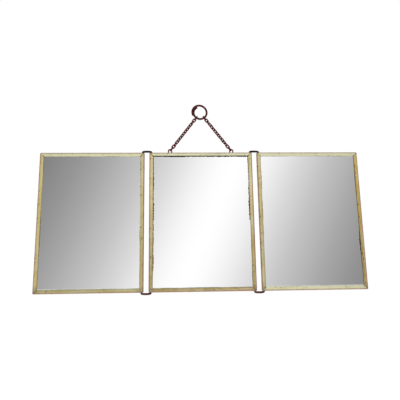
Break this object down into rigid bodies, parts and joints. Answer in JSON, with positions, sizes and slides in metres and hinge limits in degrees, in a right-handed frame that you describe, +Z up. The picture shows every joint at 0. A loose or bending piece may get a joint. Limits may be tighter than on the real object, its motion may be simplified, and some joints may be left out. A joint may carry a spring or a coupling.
{
  "type": "hanging triptych mirror",
  "caption": "Brass edged triptych mirror: side panels turn on bent wires at their corners, and short chains hang it from a wire ring over a nail.",
  "frame": {"origin": "centre of the hanging ring, on the line of the nail that it goes over", "axes": "+Z up; +X to the right as the mirror is looked into, along the row of panels; +Y towards the wall, so the mirrors face -Y"},
  "size_m": [0.464, 0.0075, 0.2781],
  "materials": {
    "brass": "worn satin",
    "mirror_glass": "polished",
    "board": "matte",
    "tinned_sheet": "dull",
    "chain_wire": "rust brown",
    "ring_wire": "rust brown",
    "bent_wire": "rust brown"
  },
  "bodies": {
    "ring": {"hanging_ring": "ring_wire"},
    "chains": {"left_chain_link_01": "chain_wire", "left_chain_link_02": "chain_wire", "left_chain_link_03": "chain_wire", "left_chain_link_04": "chain_wire", "left_chain_link_05": "chain_wire", "left_chain_link_06": "chain_wire", "left_chain_link_07": "chain_wire", "left_chain_link_08": "chain_wire", "left_chain_link_09": "chain_wire", "left_chain_link_10": "chain_wire", "left_chain_link_11": "chain_wire", "left_chain_link_12": "chain_wire", "left_chain_link_13": "chain_wire", "left_chain_link_14": "chain_wire", "left_chain_link_15": "chain_wire", "right_chain_link_01": "chain_wire", "right_chain_link_02": "chain_wire", "right_chain_link_03": "chain_wire", "right_chain_link_04": "chain_wire", "right_chain_link_05": "chain_wire", "right_chain_link_06": "chain_wire", "right_chain_link_07": "chain_wire", "right_chain_link_08": "chain_wire", "right_chain_link_09": "chain_wire", "right_chain_link_10": "chain_wire", "right_chain_link_11": "chain_wire", "right_chain_link_12": "chain_wire", "right_chain_link_13": "chain_wire", "right_chain_link_14": "chain_wire", "right_chain_link_15": "chain_wire"},
    "centre_panel": {"centre_frame": "brass", "centre_mirror": "mirror_glass", "centre_pad": "board", "centre_back_plate": "tinned_sheet", "left_eye": "bent_wire", "right_eye": "bent_wire"},
    "left_hinge_wires": {"top_left_hinge_wire": "bent_wire", "bottom_left_hinge_wire": "bent_wire"},
    "left_panel": {"left_frame": "brass", "left_mirror": "mirror_glass", "left_pad": "board", "left_back_plate": "tinned_sheet"},
    "right_hinge_wires": {"top_right_hinge_wire": "bent_wire", "bottom_right_hinge_wire": "bent_wire"},
    "right_panel": {"right_frame": "brass", "right_mirror": "mirror_glass", "right_pad": "board", "right_back_plate": "tinned_sheet"}
  },
  "joints": [
    {"name": "chains_swing", "type": "hinge", "parent": "ring", "child": "chains", "pos_m": [0, 0, -0.00778], "axis": [1, 0, 0], "range_deg": [-25, 25]},
    {"name": "centre_tilt", "type": "hinge", "parent": "chains", "child": "centre_panel", "pos_m": [0, 0, -0.05775], "axis": [1, 0, 0], "range_deg": [-40, 40]},
    {"name": "left_wires_turn", "type": "hinge", "parent": "centre_panel", "child": "left_hinge_wires", "pos_m": [-0.0721, 0, -0.16239], "axis": [0, 0, 1], "range_deg": [-90, 150]},
    {"name": "left_panel_turn", "type": "hinge", "parent": "left_hinge_wires", "child": "left_panel", "pos_m": [-0.0849, 0, -0.16239], "axis": [0, 0, 1], "range_deg": [-90, 30]},
    {"name": "right_wires_turn", "type": "hinge", "parent": "centre_panel", "child": "right_hinge_wires", "pos_m": [0.0721, 0, -0.16239], "axis": [0, 0, -1], "range_deg": [-150, 90]},
    {"name": "right_panel_turn", "type": "hinge", "parent": "right_hinge_wires", "child": "right_panel", "pos_m": [0.0849, 0, -0.16239], "axis": [0, 0, -1], "range_deg": [-30, 90]}
  ]
}
